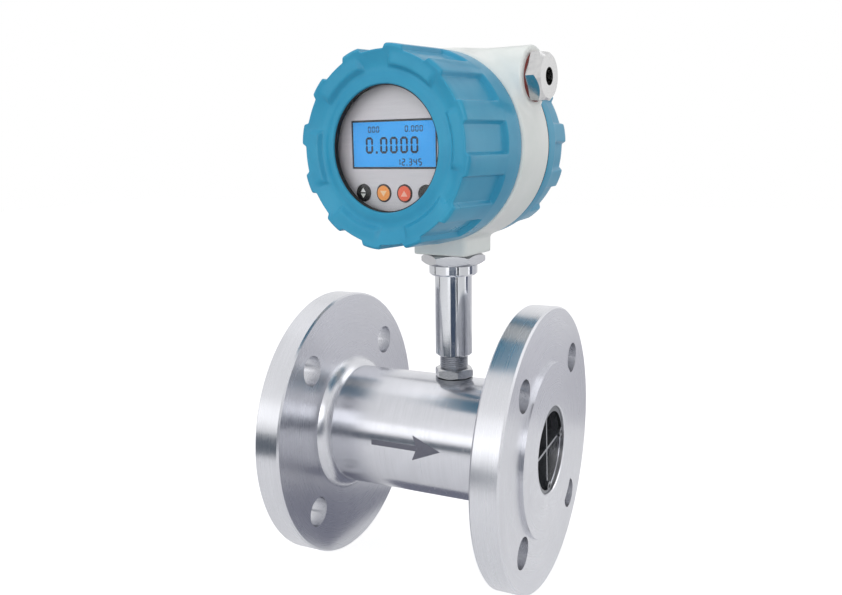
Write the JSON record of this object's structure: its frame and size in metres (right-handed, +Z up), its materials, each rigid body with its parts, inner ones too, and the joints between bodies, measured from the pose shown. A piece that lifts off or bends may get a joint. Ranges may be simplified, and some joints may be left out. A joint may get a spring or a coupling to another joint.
{
  "type": "turbine flow meter",
  "caption": "Flanged in-line turbine flow meter with a round indicator head on a swivelling stem: window, display, keys, screwed covers and a cable entry.",
  "frame": {"origin": "centre of the inlet flange's raised face, on the pipe axis", "axes": "+X along the pipe in the direction of flow, +Z up along the stem, +Y away from someone who reads the display"},
  "size_m": [0.15, 0.165, 0.3048],
  "materials": {
    "turned_stainless": "satin, turned",
    "brushed_stainless": "satin, brushed",
    "weld_bead": "satin",
    "milled_stainless": "satin",
    "spring_steel": "satin",
    "ceramic_bush": "matte",
    "ground_steel": "polished",
    "polished_stainless": "polished",
    "nut_steel": "satin",
    "magnet": "matte",
    "coil_copper": "satin",
    "seal_rubber": "matte",
    "white_paint": "gloss paint on cast aluminium",
    "blue_paint": "gloss paint on cast aluminium",
    "toughened_glass": "polished",
    "plated_ring": "satin",
    "face_plate": "satin",
    "lcd_blue": "satin",
    "lcd_frame": "matte",
    "circuit_board": "satin",
    "nickel_brass": "satin, nickel plated",
    "fibre_washer": "matte",
    "key_black": "satin",
    "key_orange": "satin",
    "key_red": "satin"
  },
  "bodies": {
    "pipe": {"meter_tube": "brushed_stainless", "inlet_flange": "turned_stainless", "outlet_flange": "turned_stainless", "inlet_weld": "weld_bead", "outlet_weld": "weld_bead", "sensor_boss": "brushed_stainless", "inlet_guide": "milled_stainless", "outlet_guide": "milled_stainless", "inlet_bush": "ceramic_bush", "outlet_bush": "ceramic_bush", "inlet_retaining_ring": "spring_steel", "outlet_retaining_ring": "spring_steel", "pickup_shell": "polished_stainless", "pickup_magnet": "magnet", "pickup_coil": "coil_copper", "pickup_lock_nut": "nut_steel", "stem_tube": "polished_stainless", "swivel_nipple": "polished_stainless", "swivel_seal": "seal_rubber", "swivel_lock_nut": "nut_steel"},
    "rotor": {"turbine_rotor": "milled_stainless", "rotor_shaft": "ground_steel"},
    "head": {"housing_body": "white_paint", "partition_plate": "white_paint", "display_plate": "face_plate", "lcd_screen": "lcd_blue", "lcd_module": "lcd_frame", "display_board": "circuit_board", "plate_spacers": "plated_ring", "board_screws": "plated_ring", "display_standoffs": "plated_ring", "main_board": "circuit_board", "main_standoffs": "plated_ring", "key_switches": "lcd_frame", "terminal_board": "circuit_board", "terminal_block": "lcd_frame", "terminal_screws": "plated_ring", "cable_gland": "nickel_brass", "gland_grommet": "seal_rubber", "gland_washer": "fibre_washer", "blanking_plug": "nickel_brass", "plug_washer": "fibre_washer"},
    "front_seal": {"front_cover_seal": "seal_rubber"},
    "front_cover": {"front_cover": "blue_paint", "window_gasket": "seal_rubber", "window_glass": "toughened_glass", "glass_retainer": "plated_ring"},
    "rear_seal": {"rear_cover_seal": "seal_rubber"},
    "rear_cover": {"rear_cover": "blue_paint"},
    "key_menu": {"key_menu": "key_black"},
    "key_down": {"key_down": "key_orange"},
    "key_up": {"key_up": "key_red"},
    "key_enter": {"key_enter": "key_black"}
  },
  "joints": [
    {"name": "rotor_spin", "type": "hinge", "parent": "pipe", "child": "rotor", "pos_m": [0.0889, 0, 0], "axis": [1, 0, 0], "continuous": true},
    {"name": "head_swivel", "type": "hinge", "parent": "pipe", "child": "head", "pos_m": [0.0889, 0, 0.1704], "axis": [0, 0, 1], "range_deg": [-165, 165]},
    {"name": "front_cover_travel", "type": "slide", "parent": "head", "child": "front_seal", "axis": [-0.1045, -0.9945, 0], "range_m": [0, 0.0125]},
    {"name": "front_cover_turn", "type": "hinge", "parent": "front_seal", "child": "front_cover", "pos_m": [0.0843, -0.04376, 0.1704], "axis": [-0.1045, -0.9945, 0], "range_deg": [0, 2160]},
    {"name": "rear_cover_travel", "type": "slide", "parent": "head", "child": "rear_seal", "axis": [0.1045, 0.9945, 0], "range_m": [0, 0.0125]},
    {"name": "rear_cover_turn", "type": "hinge", "parent": "rear_seal", "child": "rear_cover", "pos_m": [0.09204, 0.02984, 0.1704], "axis": [0.1045, 0.9945, 0], "range_deg": [0, 2160]},
    {"name": "key_menu_press", "type": "slide", "parent": "head", "child": "key_menu", "axis": [0.1045, 0.9945, 0], "range_m": [0, 0.0004], "stiffness_N_per_m": 1000, "springref_m": -0.0004},
    {"name": "key_down_press", "type": "slide", "parent": "head", "child": "key_down", "axis": [0.1045, 0.9945, 0], "range_m": [0, 0.0004], "stiffness_N_per_m": 1000, "springref_m": -0.0004},
    {"name": "key_up_press", "type": "slide", "parent": "head", "child": "key_up", "axis": [0.1045, 0.9945, 0], "range_m": [0, 0.0004], "stiffness_N_per_m": 1000, "springref_m": -0.0004},
    {"name": "key_enter_press", "type": "slide", "parent": "head", "child": "key_enter", "axis": [0.1045, 0.9945, 0], "range_m": [0, 0.0004], "stiffness_N_per_m": 1000, "springref_m": -0.0004}
  ],
  "couplings": [
    {"joint": "front_cover_travel", "follows": "front_cover_turn", "m_per_rad": 0.00031831},
    {"joint": "rear_cover_travel", "follows": "rear_cover_turn", "m_per_rad": 0.00031831}
  ]
}
